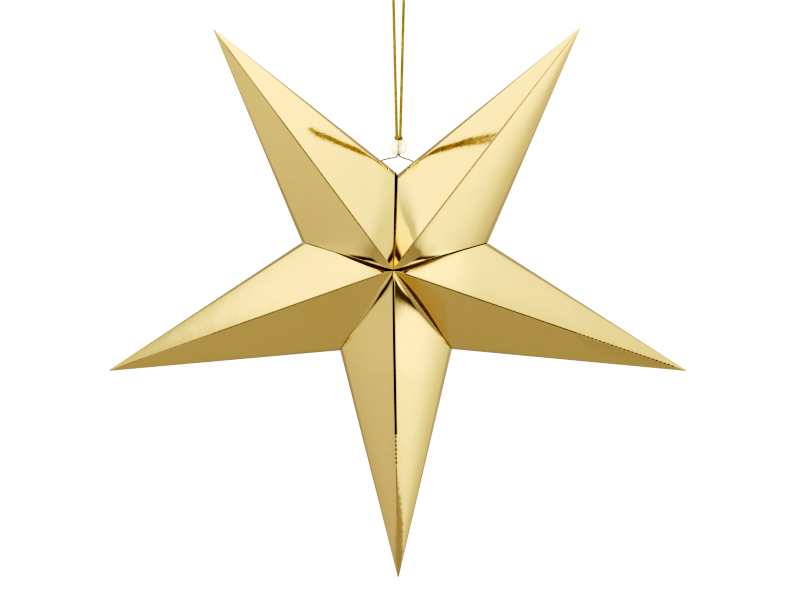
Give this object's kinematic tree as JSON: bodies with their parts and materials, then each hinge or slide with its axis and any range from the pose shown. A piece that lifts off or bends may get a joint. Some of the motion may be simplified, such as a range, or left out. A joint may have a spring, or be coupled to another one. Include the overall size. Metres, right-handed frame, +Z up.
{
  "type": "paper star",
  "caption": "Hanging three-dimensional paper star of folded gold foil card, point down, closed by a bead on a thread and hung from a doubled cord.",
  "frame": {"origin": "where a hook bears in the top of the cord's loop", "axes": "+X to the right across the star, +Y away from the viewer through its depth, +Z up along the cord"},
  "size_m": [0.2988, 0.0956, 0.303],
  "materials": {
    "foil_card": "glossy pale gold metallic foil facing, plain edges",
    "thread": "thin dark gold metallic thread",
    "bead_plastic": "translucent milky plastic",
    "cord": "twisted gold metallic cord"
  },
  "bodies": {
    "root": {"lower_arm": "foil_card", "left_arm": "foil_card", "right_arm": "foil_card", "upper_left_arm": "foil_card", "upper_right_arm": "foil_card", "closing_thread": "thread", "left_thread_knot": "thread", "right_thread_knot": "thread", "bead": "bead_plastic", "cord_tie": "cord", "hanging_cord": "cord"}
  },
  "joints": []
}
